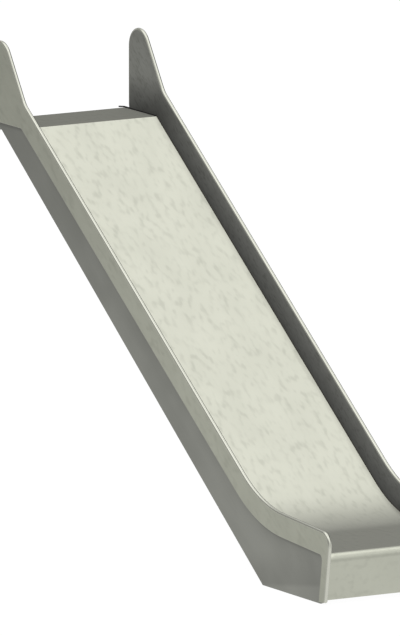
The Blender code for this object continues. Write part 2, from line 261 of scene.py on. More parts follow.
@dataclass(frozen=True)
class SideView:
    """Driving sizes of the side view, and the paths that follow from them."""

    slope: float = 35.0
    slope_run: float = 3.694
    runout: float = 1.0
    bed_radius: float = 1.000
    platform: float = 0.419
    bed_sheet: float = 0.003
    sheet: float = 0.0025
    cheek_height: float = 0.1712
    cheek_end: Line = Line((3.5062, 1.9819), 3.6)
    cheek_radius: float = 0.970
    cheek_corner_radius: float = 0.0775
    front: Line = Line((3.9325, 2.0825), 98.45)
    front_bottom: float = 2.448
    guard_rear: float = -0.3595
    guard_apex_radius: float = 0.117
    guard_apex_height: float = 0.5293
    guard_front: float = 56.2
    guard_foot_radius: float = 0.200
    band_bottom: float = -0.010
    band_width: float = 0.143
    band_heel_radius: float = 0.040
    strip_width: float = 0.064
    strip_corner_radius: float = 0.035
    skirt: Line = Line((-0.1165, 0.1459), 36.0)
    skirt_top: float = 0.012
    rim_radius: float = 0.0125
    foot_level: float = 2.466
    toe_radius: float = 0.100
    lip_start: float = 3.868
    lip_radius: float = 0.050
    apron_bottom: float = 2.4306
    rear_fold_radius: float = 0.006
    rear_fold: float = 0.070

    @property
    def chute_line(self) -> Line:
        """Top of the chute."""
        return Line((0.0, 0.0), self.slope)

    @property
    def runout_line(self) -> Line:
        """Top of the run-out, from its corner with the chute's line, before that is rolled."""
        return Line(self.slope_run * heading(self.slope), self.runout)

    @property
    def rim_slope(self) -> Line:
        """Underside of the rim along the chute."""
        return self.chute_line.raised(self.cheek_height)

    @property
    def origin(self) -> np.ndarray:
        """World point where u and w are 0, from the platform's box."""
        low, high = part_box("platform_sheet")
        return np.array([0.0, low.y - GAP, high.z])

    def place(self, x: np.ndarray | float, side: np.ndarray) -> np.ndarray:
        """World points from places across and points of the side view: origin + (x, -u, -w).

        Args:
            x: places across, to be broadcast against the side view's.
            side: points (..., 2) of the side view.

        Returns:
            Points (..., 3).
        """
        x, u, w = np.broadcast_arrays(x, side[..., 0], side[..., 1])
        return self.origin + np.stack([x, -u, -w], -1)

    def extent(self, node: str) -> tuple[float, float, float, float]:
        """Extent of a CAD node in the side view, from its box.

        Args:
            node: the node's name.

        Returns:
            Its rear, front, top and bottom.
        """
        low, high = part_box(node)
        _, y, z = self.origin
        return y - high.y, y - low.y, z - high.z, z - low.z

    def rim_path(self) -> Path:
        """Line under the rim: up the guard's rear, over it, down the chute and down the front.

        Returns:
            The path.
        """
        radius = self.guard_apex_radius
        centre = (self.guard_rear + radius, radius - self.guard_apex_height)
        guard = Line(centre, self.guard_front).raised(radius)
        corners = [(self.guard_rear, self.band_bottom),
                   upright(self.guard_rear).crossing(guard),
                   guard.crossing(self.rim_slope),
                   self.rim_slope.crossing(self.cheek_end),
                   self.cheek_end.crossing(self.front),
                   self.front.crossing(level(self.front_bottom))]
        return Path.through(corners, [radius, self.guard_foot_radius, self.cheek_radius,
                                      self.cheek_corner_radius])

    def band_lower_path(self) -> Path:
        """Lower edge of the outer band, from its heel to the foot of its front strip.

        Returns:
            The path.
        """
        slope = self.rim_slope.raised(-self.band_width)
        end = self.cheek_end.raised(-self.band_width)
        strip_rear = self.front.raised(-self.strip_width)
        corners = [(self.guard_rear, self.band_bottom),
                   level(self.band_bottom).crossing(slope),
                   slope.crossing(end),
                   end.crossing(strip_rear),
                   strip_rear.crossing(level(self.front_bottom))]
        return Path.through(corners, [self.band_heel_radius, self.cheek_radius + self.band_width,
                                      self.strip_corner_radius])

    def skirt_ends(self) -> np.ndarray:
        """Ends of the skirt's lower edge: under the platform and at the foot's rear corner."""
        return np.array([self.skirt.crossing(level(depth))
                         for depth in (self.skirt_top, self.foot_level)])

    def wall_edge(self) -> np.ndarray:
        """Plain edge of the inner wall: up the guard, along the rim, round the toe, along the foot.

        Returns:
            Points of the side view.
        """
        top = self.rim_path().shifted(-GAP).points[:-1]
        skirt_start, foot_start = self.skirt_ends()
        toe = self.front.raised(-GAP).crossing(level(self.foot_level))
        foot = Path.through([top[-1], toe, foot_start], [self.toe_radius]).points[1:]
        return np.vstack([[skirt_start], [(self.guard_rear + GAP, self.skirt_top)], top, foot])

    def bed_path(self) -> Path:
        """Top of the bed: the straight chute, the roll and the run-out up to the lip.

        Returns:
            The path.
        """
        run = self.runout_line
        end = run.crossing(upright(self.lip_start))
        return Path.through([(0.0, 0.0), run.point, end], [self.bed_radius], turn=1.0, stride=0.05)

    def lip_path(self) -> Path:
        """Top and front of the lip, and the apron below it.

        Returns:
            The path.
        """
        start = self.runout_line.crossing(upright(self.lip_start + GAP))
        reach = self.lip_radius * math.tan(math.radians(self.front.angle - self.runout) / 2)
        corner = start + reach * heading(self.runout)
        bottom = Line(corner, self.front.angle).crossing(level(self.apron_bottom))
        return Path.through([start, corner, bottom], [self.lip_radius])

    def platform_path(self) -> Path:
        """Top of the platform, from the bottom of its rear fold forward to the bend."""
        corners = [(-self.platform, self.rear_fold), (-self.platform, 0.0), (-GAP, 0.0)]
        return Path.through(corners, [self.rear_fold_radius], turn=10.0, stride=0.03)


VIEW = SideView()


@dataclass(frozen=True)
class Skin:
    """Closed surface over m rings of k points, with a flat face on its first and last ring.

    `along` (m) and `around` (k + 1) are running lengths, the UV map's U and V.
    """

    rings: np.ndarray
    along: np.ndarray
    around: np.ndarray

    def outward(self) -> "Skin":
        """The same skin with its faces outward.

        The signed volume is the sum of a . (b x c) over all triangles; where it is negative
        every ring is reversed.

        Returns:
            The skin.
        """
        rings = self.rings - self.rings.mean((0, 1))
        near, far = rings[:-1], rings[1:]
        far_next, near_next = np.roll(far, -1, 1), np.roll(near, -1, 1)
        first, last = rings[0], rings[-1]
        fans = [(near, far, far_next, 1), (near, far_next, near_next, 1),
                (first[:1], first[1:-1], first[2:], 1), (last[:1], last[1:-1], last[2:], -1)]
        volume = sum(sign * np.einsum("...i,...i", a, np.cross(b, c)).sum()
                     for a, b, c, sign in fans)
        return self if volume >= 0.0 else Skin(self.rings[:, ::-1], self.along, self.around[::-1])


def build_solid(name: str, skins: list[Skin]) -> bpy.types.Object:
    """One object from closed skins, with its UV map in metres and smooth faces.

    A skin's quads join ring i to ring i + 1; its first and last ring are each one flat face.

    Args:
        name: the object's name.
        skins: the closed surfaces.

    Returns:
        The object, linked and at the origin.
    """
    points, corners, starts, uvs = [], [], [], []
    point_count = corner_count = 0
    for skin in (skin.outward() for skin in skins):
        m, k = skin.rings.shape[:2]
        index = point_count + np.arange(m * k).reshape(m, k)
        near, far = index[:-1], index[1:]
        quads = np.stack([near, far, np.roll(far, -1, 1), np.roll(near, -1, 1)], -1)
        corners += [quads.ravel(), index[0], index[-1][::-1]]
        quad_corners = 4 * (m - 1) * k
        starts += [corner_count + np.arange(0, quad_corners, 4),
                   corner_count + quad_corners + np.array([0, k])]
        grid = np.stack(np.broadcast_arrays(skin.along[:, None], skin.around), -1)
        quad_uv = np.stack([grid[:-1, :-1], grid[1:, :-1], grid[1:, 1:], grid[:-1, 1:]], 2)
        uvs += [quad_uv.reshape(-1, 2), grid[0, :-1], grid[-1, :-1][::-1]]
        points.append(skin.rings.reshape(-1, 3))
        point_count += m * k
        corner_count += quad_corners + 2 * k
    mesh = bpy.data.meshes.new(name)
    all_corners, all_starts = np.concatenate(corners), np.concatenate(starts)
    mesh.vertices.add(point_count)
    mesh.vertices.foreach_set("co", np.concatenate(points).astype(np.float32).ravel())
    mesh.loops.add(len(all_corners))
    mesh.loops.foreach_set("vertex_index", all_corners.astype(np.int32))
    mesh.polygons.add(len(all_starts))
    mesh.polygons.foreach_set("loop_start", all_starts.astype(np.int32))
    mesh.update(calc_edges=True)
    layer = mesh.uv_layers.new(name="UVMap")
    layer.data.foreach_set("uv", np.concatenate(uvs).astype(np.float32).ravel())
    mesh.shade_smooth()
    mesh.set_sharp_from_angle(angle=math.radians(SHARP_ANGLE))
    if mesh.validate():
        LOG.warning("%s had faulty faces", name)
    piece = bpy.data.objects.new(name, mesh)
    bpy.context.scene.collection.objects.link(piece)
    return piece


def carried(path: Path, section: np.ndarray, start_mitre: float = 0.0,
            end_mitre: float = 0.0) -> Skin:
    """A section carried along a path of the side view.

    A section point (x, up) stands at x across and at path point + up * normal. At a mitred
    end it is also moved up * mitre along the path.

    Args:
        path: the path.
        section: closed loop of (x, up).
        start_mitre: slope of the first end's cut.
        end_mitre: slope of the last end's cut.

    Returns:
        The skin; its V is the place across.
    """
    side = path.points[:, None] + section[None, :, 1:] * path.normals[:, None]
    for end, mitre in ((0, start_mitre), (-1, end_mitre)):
        side[end] += mitre * section[:, 1:] * path.headings[end]
    across = np.append(section[:, 0], section[0, 0])
    return Skin(VIEW.place(section[:, 0], side), path.lengths, across)


def crosswise(loop: np.ndarray, x_from: float, x_to: float, stride: float = 0.1) -> Skin:
    """A closed loop of the side view carried straight across.

    Args:
        loop: the loop.
        x_from: first end.
        x_to: last end.
        stride: widest step from ring to ring.

    Returns:
        The skin; its U runs across and its V round the loop.
    """
    x = np.linspace(x_from, x_to, 2 + int(abs(x_to - x_from) / stride))
    around = running_length(np.vstack([loop, loop[:1]]))
    return Skin(VIEW.place(x[:, None], loop[None]), np.abs(x - x_from), around)


def sheet_section(half: float, thickness: float, columns: int) -> np.ndarray:
    """Closed section (x, up) of a level sheet, its top at 0, with softly rounded edges."""
    corners = [(half, -thickness), (half, 0.0), (-half, 0.0), (-half, -thickness)]
    return closed_loop(corners, radius=0.3 * thickness, turn=30.0, stride=2 * half / columns)


@dataclass(frozen=True)
class Fold:
    """A sheet's folded edge: outer bend radius and how far the return reaches across."""

    radius: float
    reach: float
    bend_steps: int = 6

    def section(self, sheet: float, guard: float) -> np.ndarray:
        """Section (inset, depth) of the folded edge, from the outer face round to the inner one.

        Inset is measured from the panel's edge inward, depth from the outer face. The bend is
        a quarter circle (r - r sin a, r - r cos a), and the inner bend is one sheet smaller.

        Args:
            sheet: thickness of the sheet.
            guard: inset of the first and last point, beyond the bend.

        Returns:
            The section's points.
        """
        turns = np.linspace(0.0, math.pi / 2, self.bend_steps)
        quarter = np.stack([np.sin(turns), np.cos(turns)], -1)
        outer = self.radius - self.radius * quarter
        inner = self.radius - (self.radius - sheet) * quarter
        ease = EASE * sheet
        tip = [(0.0, self.reach - ease), (ease, self.reach), (sheet - ease, self.reach),
               (sheet, self.reach - ease)]
        return np.vstack([[(guard, 0.0)], outer, tip, inner[::-1], [(guard, sheet)]])


@dataclass(frozen=True)
class Panel:
    """Flat panel of the side view, a sheet thick, with one plain edge and one folded edge.

    The folded part of the outline runs from the plain part's end back to its start. The flat
    faces start `clear` beyond the bend.
    """

    plain: np.ndarray
    folded: np.ndarray
    sheet: float
    fold: Fold
    clear: float = 0.002

    def skin(self, outer_x: float) -> Skin:
        """Skin of the panel, whose outer face stands at `outer_x` and whose fold turns inward.

        Each ring is the whole outline moved inward along its mitres. The mitre at a point is
        the sum of its two sides' normals over one plus their product. The inset and depth of
        a ring come from the fold's section on folded points and from a softly rounded edge
        on plain ones. The first and last ring are the flat faces.

        Args:
            outer_x: place across of the outer face; its sign gives the side.

        Returns:
            The skin.
        """
        outline = np.vstack([self.plain, self.folded[1:-1]])
        before = outline - np.roll(outline, 1, 0)
        before /= np.linalg.norm(before, axis=1)[:, None]
        after = np.roll(before, -1, 0)
        quarter_turn = np.array([[0.0, -1.0], [1.0, 0.0]])
        mitre = (before + after) @ quarter_turn / (1 + (before * after).sum(1))[:, None]
        following = np.roll(outline, -1, 0)
        area = (outline[:, 0] * following[:, 1] - outline[:, 1] * following[:, 0]).sum()
        mitre *= -1.0 if area > 0 else 1.0

        last = len(self.plain) - 1
        order = np.concatenate([np.arange(last + 1), np.arange(last, len(outline)), [0]])
        is_folded = np.arange(len(order)) > last
        bent = self.fold.section(self.sheet, self.fold.radius + self.clear)
        ease = EASE * self.sheet
        rim = np.array([(ease, 0.0), (0.0, ease), (0.0, self.sheet - ease), (ease, self.sheet)])
        parts = np.linspace(0, 3, len(bent) - 2)
        square = np.stack([np.interp(parts, np.arange(4), rim[:, i]) for i in (0, 1)], -1)
        square = np.vstack([bent[:1], square, bent[-1:]])
        rings = np.where(is_folded[None, :, None], bent[:, None], square[:, None])
        side = outline[order] + rings[..., :1] * mitre[order]
        x = outer_x - math.copysign(1.0, outer_x) * rings[..., 1]
        around = running_length(np.vstack([outline[order], outline[:1]]))
        return Skin(VIEW.place(x, side), np.linspace(0.0, self.fold.reach, len(bent)), around)


def spindles(starts: np.ndarray, ends: np.ndarray, radius: float) -> list[Skin]:
    """Short weld beads as rippled spindles between pairs of points.

    The bead's radius at t from 0 to 1 is r * (1 - (2t - 1)^4)^(1/2) * (1 + swing sin(ripples)),
    with one ripple every 3 mm, drawn coarser than the real 1 mm so that it shows.

    Args:
        starts: first world points.
        ends: last world points.
        radius: the bead's radius at its middle.

    Returns:
        One skin for each bead.
    """
    ripple, swing, tip, stations, sides = 0.003, 0.12, 0.002, 41, 10
    not_along_a_bead = [0.31, 0.59, 0.74]
    t = np.linspace(tip, 1 - tip, stations)
    turns = np.arange(sides) * 2 * math.pi / sides
    skins = []
    for start, end in zip(starts, ends):
        length = np.linalg.norm(end - start)
        axis = (end - start) / length
        first = np.cross(axis, not_along_a_bead)
        first /= np.linalg.norm(first)
        ripples = 1 + swing * np.sin(2 * math.pi * t * length / ripple)
        swell = np.sqrt(1 - (2 * t - 1) ** 4) * ripples
        around = np.outer(np.cos(turns), first) + np.outer(np.sin(turns), np.cross(axis, first))
        rings = start + t[:, None, None] * (end - start) + radius * swell[:, None, None] * around
        skins.append(Skin(rings, t * length, np.linspace(0, 2 * math.pi * radius, sides + 1)))
    return skins


Curve = tuple[tuple[float, float], ...]
Tree, Socket = bpy.types.NodeTree, bpy.types.NodeSocket


def linear(code: str) -> tuple[float, float, float, float]:
    """Linear colour with full alpha from an sRGB hex code.

    Args:
        code: a code such as "c8c9be".

    Returns:
        Red, green, blue and alpha.
    """
    parts = np.array([int(code[i:i + 2], 16) for i in (0, 2, 4)]) / 255
    values = np.where(parts <= 0.04045, parts / 12.92, ((parts + 0.055) / 1.055) ** 2.4)
    return (*map(float, values), 1.0)


def add_node(tree: Tree, kind: str, inputs: dict, out: int | str = 0,
             **settings: object) -> Socket | None:
    """Add a node, set its properties and fill its inputs.

    Args:
        tree: the node tree.
        kind: the node's type, without "ShaderNode" before it.
        inputs: socket name or number to a value, or to an output socket to link.
        out: name or number of the output to hand back.
        settings: the node's own properties.

    Returns:
        The output socket, or None for a node that has none.
    """
    node = tree.nodes.new(f"ShaderNode{kind}")
    for name, value in settings.items():
        setattr(node, name, value)
    for name, value in inputs.items():
        if isinstance(value, Socket):
            tree.links.new(value, node.inputs[name])
        else:
            node.inputs[name].default_value = value
    return node.outputs[out] if len(node.outputs) else None


def multiplied(tree: Tree, colour: Socket | tuple, value: Socket, curve: Curve,
               full: float = 1.0) -> Socket:
    """A colour times a curve of a value, by way of a ramp over the range of the curve's stops.

    Args:
        tree: the node tree.
        colour: the colour.
        value: where the curve is read.
        curve: stops (value, factor), rising.
        full: factor that the ramp shows as white.

    Returns:
        The colour, divided by `full`.
    """
    low, high = curve[0][0], curve[-1][0]
    place = add_node(tree, "MapRange", {"Value": value, "From Min": low, "From Max": high})
    factor = add_node(tree, "ValToRGB", {"Fac": place})
    ramp = factor.node.color_ramp
    for at, _ in curve[1:-1]:
        ramp.elements.new((at - low) / (high - low))
    for element, (_, share) in zip(ramp.elements, curve):
        element.color = (share / full, share / full, share / full, 1.0)
    return add_node(tree, "Mix", {"Factor": 1.0, 6: colour, 7: factor}, 2,
                    data_type="RGBA", blend_type="MULTIPLY")


def new_material(name: str) -> tuple[bpy.types.Material, Tree]:
    """A new material and its emptied node tree.

    Args:
        name: the material's name.

    Returns:
        Both.
    """
    material = bpy.data.materials.new(name)
    material.use_nodes = True
    material.node_tree.nodes.clear()
    return material, material.node_tree


@dataclass(frozen=True)
class Height:
    """Height over a run of the side view, worked out in a material from object coordinates.

    The height over a line is its upward normal times the point, less the same for the line's
    own point. Where the line is rolled into the next over an arc, the height is their smooth
    minimum, 6 r (1 - cos(turn / 2)) wide, and beside a proud bend it is the greater of both.
    """

    line: Line
    rolled_into: Line | None = None
    radius: float = 0.0
    proud_of: Line | None = None

    def over(self, tree: Tree, line: Line) -> Socket:
        """Height over one line.

        Args:
            tree: the node tree.
            line: the line.

        Returns:
            A value socket.
        """
        start = VIEW.place(0.0, np.asarray(line.point, float))
        normal = VIEW.place(0.0, square_up(line.angle)) - VIEW.origin
        at = add_node(tree, "TexCoord", {}, "Object")
        along = add_node(tree, "VectorMath", {0: at, 1: normal}, "Value", operation="DOT_PRODUCT")
        return add_node(tree, "Math", {0: along, 1: float(start @ normal)}, operation="SUBTRACT")

    def socket(self, tree: Tree) -> Socket:
        """Height over the whole run.

        Args:
            tree: the node tree.

        Returns:
            A value socket.
        """
        height = self.over(tree, self.line)
        if self.rolled_into:
            half_turn = math.radians(self.line.angle - self.rolled_into.angle) / 2
            blend = 6 * self.radius * (1 - math.cos(half_turn))
            height = add_node(tree, "Math", {0: height, 1: self.over(tree, self.rolled_into),
                                             2: blend}, operation="SMOOTH_MIN")
        if self.proud_of:
            height = add_node(tree, "Math", {0: height, 1: self.over(tree, self.proud_of)},
                              operation="MAXIMUM")
        return height


@dataclass(frozen=True)
class EdgeDistance:
    """Distance from the nearer long edge of a strip `width` wide, from its UV map's V."""

    width: float

    def socket(self, tree: Tree) -> Socket:
        """The distance: V, folded back at the strip's middle.

        Args:
            tree: the node tree.

        Returns:
            A value socket.
        """
        at = add_node(tree, "TexCoord", {}, "UV")
        across = add_node(tree, "SeparateXYZ", {"Vector": at}, "Y")
        return add_node(tree, "Math", {0: across, 1: self.width / 2}, operation="PINGPONG")


# Heights over the bed with the platform, over the outer band's lower edge, and over the foot
OVER_BED = Height(VIEW.chute_line, VIEW.runout_line, VIEW.bed_radius, level(0.0))
OVER_BAND_EDGE = Height(VIEW.rim_slope.raised(-VIEW.band_width),
                        VIEW.cheek_end.raised(-VIEW.band_width),
                        VIEW.cheek_radius + VIEW.band_width, level(VIEW.band_bottom))
OVER_FOOT = Height(level(VIEW.foot_level))

# Behind the band's front strip, where painted shade darkens the skirt, and over the line that
# rises forward from the foot's rear corner, below which the skirt is painted paler as a painted
# reflection of the floor
SPLASH_ANGLE = -8.7
BEHIND_STRIP = Height(VIEW.front.raised(-VIEW.strip_width))
OVER_SPLASH = Height(Line(VIEW.skirt_ends()[1], SPLASH_ANGLE))

# In from the long edges of the half-round bar
IN_FROM_EDGES = EdgeDistance(math.pi * VIEW.rim_radius)


class Ground(Enum):
    """What a finish's pattern follows: the piece's own UV map in metres, or the side view."""

    UV = "UV"
    SIDE_VIEW = "Object"


@dataclass(frozen=True)
class StainlessSheet:
    """Stainless steel sheet, ground or left as rolled.

    The eye sees a soft, slightly warm grey sheen without clear reflections, faint lines along
    the grinding direction, cloudy differences in sheen and some handled, duller spots.
    Grinding lines are some 0.1 mm apart; they are drawn `line_mm` apart to show at all.

    Colours are sRGB hex, of the clean metal and of its dull places, which are also rougher.
    A depth is how much a pattern changes the colour, 0 to 1. A stretch is a line's length in
    spacings, a cloud's in widths, or the size of a group of spots in spots. Fades are curves on
    the colour over a height or a distance in metres, which paint light and shade into it, and
    `bump` is the waviness in metres.
    """

    name: str
    colour: str
    dull: str
    roughness: float
    ground: Ground = Ground.SIDE_VIEW
    line_mm: float = 6.0
    line_depth: float = 0.0
    cloud_mm: float = 260.0
    cloud_depth: float = 0.25
    spot_mm: tuple[float, float] | None = None
    spot_depth: float = 0.0
    bump: float = 0.0002
    fades: tuple[tuple[Height | EdgeDistance, Curve], ...] = ()
    dull_rougher: float = 0.12
    line_stretch: float = 90.0
    cloud_stretch: float = 1.6
    group_stretch: tuple[float, float] = (3.0, 5.0)

    def coordinates(self, tree: Tree) -> Socket:
        """Metres with X along the grinding direction and Y square to it.

        The UV map already runs so. In the side view, object coordinates are turned about X so
        that the slope's direction becomes X, with height square to the slope as Y.

        Args:
            tree: the node tree.

        Returns:
            A vector socket.
        """
        at = add_node(tree, "TexCoord", {}, self.ground.value)
        if self.ground is Ground.UV:
            return at
        slope = (-math.radians(VIEW.slope), 0.0, 0.0)
        turned = add_node(tree, "Mapping", {"Vector": at, "Rotation": slope})
        parts = add_node(tree, "SeparateXYZ", {"Vector": turned}).node.outputs
        return add_node(tree, "CombineXYZ", {"X": parts["Y"], "Y": parts["Z"], "Z": parts["X"]})

    def pattern(self, tree: Tree, at: Socket, length: float, width: float,
                range_from: tuple[float, float], detail: float = 2.0) -> Socket:
        """Noise with features of the given size, faded in between two levels.

        Args:
            tree: the node tree.
            at: coordinates in metres.
            length: size along the grinding direction, in millimetres.
            width: size across it, in millimetres.
            range_from: noise values where the pattern starts and where it is full.
            detail: octaves of the noise.

        Returns:
            A value from 0 to 1.
        """
        scale = (1000 / length, 1000 / width, 1000 / width)
        scaled = add_node(tree, "Mapping", {"Vector": at, "Scale": scale})
        noise = add_node(tree, "TexNoise", {"Vector": scaled, "Scale": 1.0, "Detail": detail,
                                            "Roughness": 0.5}, "Fac")
        low, high = range_from
        return add_node(tree, "MapRange", {"Value": noise, "From Min": low, "From Max": high},
                        interpolation_type="SMOOTHSTEP")

    def dullness(self, tree: Tree, at: Socket) -> Socket:
        """How dull the metal is, 0 to 1: lines, clouds and grouped spots, each times its depth.

        Args:
            tree: the node tree.
            at: coordinates in metres.

        Returns:
            A value socket.
        """
        line, cloud = self.line_mm, self.cloud_mm
        lines = self.pattern(tree, at, self.line_stretch * line, line, (0.35, 0.65))
        clouds = self.pattern(tree, at, self.cloud_stretch * cloud, cloud, (0.30, 0.75))
        dulled = add_node(tree, "Math", {0: lines, 1: self.line_depth}, operation="MULTIPLY")
        dulled = add_node(tree, "Math", {0: clouds, 1: self.cloud_depth, 2: dulled},
                          operation="MULTIPLY_ADD")
        if self.spot_mm is None:
            return dulled
        spots = self.pattern(tree, at, *self.spot_mm, (0.46, 0.74), 1.0)
        group = np.multiply(self.group_stretch, self.spot_mm)
        groups = self.pattern(tree, at, *group, (0.15, 0.60), 1.0)
        grouped = add_node(tree, "Math", {0: spots, 1: groups}, operation="MULTIPLY")
        return add_node(tree, "Math", {0: grouped, 1: self.spot_depth, 2: dulled},
                        operation="MULTIPLY_ADD", use_clamp=True)

    def material(self) -> bpy.types.Material:
        """The finish as a node material.

        Returns:
            The material.
        """
        material, tree = new_material(self.name)
        at = self.coordinates(tree)
        dulled = self.dullness(tree, at)
        colours = {"Factor": dulled, 6: linear(self.colour), 7: linear(self.dull)}
        colour = add_node(tree, "Mix", colours, 2, data_type="RGBA")
        for height, curve in self.fades:
            colour = multiplied(tree, colour, height.socket(tree), curve)
        rough = self.roughness + self.dull_rougher
        roughness = add_node(tree, "MapRange",
                             {"Value": dulled, "To Min": self.roughness, "To Max": rough})
        waves = self.pattern(tree, at, 1.2 * self.cloud_mm, self.cloud_mm, (0.0, 1.0))
        bump = add_node(tree, "Bump", {"Strength": 1.0, "Distance": self.bump, "Height": waves})
        metal = add_node(tree, "BsdfPrincipled", {"Base Color": colour, "Metallic": 1.0,
                                                  "Roughness": roughness, "Normal": bump})
        add_node(tree, "OutputMaterial", {"Surface": metal})
        return material


class Finish(Enum):
    """All finishes of the slide."""

    # Ground sheet that is slid over: bright satin with soft dull spots of 40 to 90 mm
    BED = StainlessSheet(
        "ground_stainless_bed", "d2d3c5", "abada0", 0.30, Ground.UV, line_depth=0.03,
        cloud_depth=0.10, spot_mm=(85.0, 38.0), spot_depth=0.28)
    # The same sheet where it is rolled over the lip, with small marks all over
    LIP = StainlessSheet(
        "ground_stainless_lip", "d0d2c3", "abada0", 0.28, Ground.UV, cloud_depth=0.10,
        spot_mm=(44.0, 50.0), spot_depth=0.20)
    # Its unground underside: duller and darker, partly as mill finish and partly as painted shade
    # under the sheet, with the rolling mill's faint streaks
    UNDERSIDE = StainlessSheet(
        "mill_stainless_underside", "9c9d96", "83847c", 0.48, Ground.UV, line_depth=0.12,
        cloud_mm=240.0, cloud_depth=0.5)
    # The same sheet lying level, with shorter marks from shoes and hands
    PLATFORM = StainlessSheet(
        "ground_stainless_platform", "cccdbf", "a9aa9c", 0.30, Ground.UV, line_depth=0.04,
        cloud_depth=0.10, spot_mm=(70.0, 40.0), spot_depth=0.35)
    # Ground outer band, with cloudy sheen along the slope, and a fade that paints shade on it,
    # darker up the guard and a little near the foot
    BAND = StainlessSheet(
        "ground_stainless_band", "caccbc", "a5a798", 0.34, line_depth=0.06, cloud_mm=150.0,
        cloud_depth=0.15, spot_mm=(80.0, 38.0), spot_depth=0.22,
        fades=((OVER_FOOT, ((0.2, 0.91), (0.5, 0.94), (0.9, 0.98), (1.4, 0.93), (2.3, 0.78),
                            (2.9, 0.72))),))
    # Sheet left as rolled: duller, nearly without lines, and darker, partly as painted shade under
    # the band. Its fades paint more light and shade: paler towards the foot, a painted shadow just
    # under the band's lower edge, painted shade near the front strip, and a paler painted floor
    # reflection below the line that rises from the foot's rear corner
    SKIRT = StainlessSheet(
        "mill_stainless_skirt", "aaaba3", "8f9089", 0.42, line_depth=0.05, cloud_mm=320.0,
        cloud_depth=0.35,
        fades=((OVER_FOOT, ((0.2, 1.0), (2.4, 0.78))),
               (OVER_BAND_EDGE, ((-0.12, 1.0), (-0.06, 0.97), (-0.03, 0.92), (-0.008, 0.66))),
               (BEHIND_STRIP, ((-0.34, 1.03), (-0.16, 0.95), (0.0, 0.94))),
               (OVER_SPLASH, ((-0.012, 1.0), (0.015, 0.86), (0.10, 0.91), (0.22, 1.0)))))
    # Inner face of the cheeks: a darker copy of the wall's sheet that paints shade on the inward
    # faces, with a fade painting more shade towards the bed, and rub marks along the slope
    INNER_WALL = StainlessSheet(
        "mill_stainless_inner_wall", "a0a19a", "85867e", 0.45, line_depth=0.10, cloud_mm=60.0,
        cloud_depth=0.2, spot_mm=(42.0, 15.0), spot_depth=0.45,
        fades=((OVER_BED, ((0.0, 0.21), (0.03, 0.31), (0.08, 0.41), (0.14, 0.54), (0.18, 0.67),
                           (0.24, 0.84), (0.32, 0.88), (0.50, 0.84))),))
    # Half-round bar, ground and polished, with painted shade darkening it along both long edges
    RIM = StainlessSheet(
        "polished_stainless_bar", "e2e3d6", "c8c9bc", 0.15, Ground.UV, line_mm=4.0,
        line_depth=0.10, bump=0.00005,
        fades=((IN_FROM_EDGES, ((0.0, 0.55), (0.003, 0.75), (0.008, 1.0))),))
    # Pickled welded frame: even, dull grey, with painted shade darkening it close under the bed
    FRAME = StainlessSheet(
        "pickled_stainless_frame", "a3a39e", "82827c", 0.50, cloud_mm=90.0, cloud_depth=0.5,
        fades=((OVER_BED, ((-0.10, 1.0), (-0.045, 0.8), (-0.004, 0.45))),))
    # Weld seam: dark grey with a trace of heat tint; its darkness also paints the shade in the
    # corner between bed and cheek
    SEAM = StainlessSheet("weld_seam_stainless", "42403a", "2d2b27", 0.45, cloud_mm=30.0,
                          cloud_depth=0.6)
    # Weld beads of the frame after pickling: matt grey
    BEAD = StainlessSheet("pickled_weld_bead", "94948e", "6f6f68", 0.45, cloud_mm=12.0,
                          cloud_depth=0.6)
    # Flat bar painted nearly black as painted shade, on its face turned from the light and in the
    # crease by the platform, with a dull sheen
    TRIM = StainlessSheet("blackened_steel_bar", "2c2b28", "1c1b19", 0.50, cloud_mm=25.0,
                          cloud_depth=0.4)

    @property
    def material(self) -> bpy.types.Material:
        """The finish's material, made when it is first asked for."""
        return bpy.data.materials.get(self.value.name) or self.value.material()


def hand_over(name: str, skins: list[Skin], finish: Finish, slot: Slot, *nodes: str,
              second: Finish | None = None, towards: np.ndarray | None = None) -> None:
    """Build a piece, dress it, ride it on the slide's one body and report it.

    As in the photograph, the pieces' sheen shows the studio and not the neighbouring pieces.

    Args:
        name: the piece's name.
        skins: its closed surfaces.
        finish: its finish.
        slot: the record's slot that it takes its finish from; not used.
        nodes: the CAD nodes that it stands for.
        second: finish of the faces that look `towards` a direction.
        towards: one unit vector, or one for each face.
    """
    piece = build_solid(name, skins)
    piece.visible_glossy = False
    mesh = piece.data
    mesh.materials.append(finish.material)
    if second:
        mesh.materials.append(second.material)
        normals = np.empty(3 * len(mesh.polygons))
        mesh.polygons.foreach_get("normal", normals)
        shares = (normals.reshape(-1, 3) * towards).sum(1)
        mesh.polygons.foreach_set("material_index", (shares > FACING).astype(np.int32))
    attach(piece, "root")
    if nodes:
        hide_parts(*nodes)
    LOG.info("%s: %d faces for %s", name, len(mesh.polygons), ", ".join(nodes) or "no node")


def across_span(node: str, side: Side) -> tuple[float, float]:
    """Inner and outer place across of a CAD node on one side, from the right one's box."""
    low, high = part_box(node)
    return side.value * low.x, side.value * high.x


